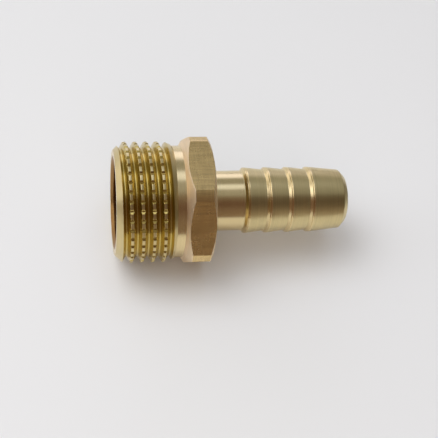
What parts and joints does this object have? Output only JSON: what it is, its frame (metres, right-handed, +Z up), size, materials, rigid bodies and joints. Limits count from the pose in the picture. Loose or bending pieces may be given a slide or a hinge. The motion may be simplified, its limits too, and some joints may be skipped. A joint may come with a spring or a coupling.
{
  "type": "hose barb tail",
  "caption": "Brass hose tail: barbed end for a hose, hexagon with a collar, and a parallel male pipe thread with grip notches across its crest.",
  "frame": {"origin": "centre of the thread's end face, on the fitting's axis", "axes": "+X along the axis from the thread's end face to the hose end, +Z up from the hexagon flat that the fitting lies on, +Y to the side"},
  "size_m": [0.0402, 0.0232, 0.021],
  "materials": {
    "brass": "bright turned and milled brass with fine tool marks"
  },
  "bodies": {
    "root": {"hose_barb_tail": "brass"}
  },
  "joints": []
}
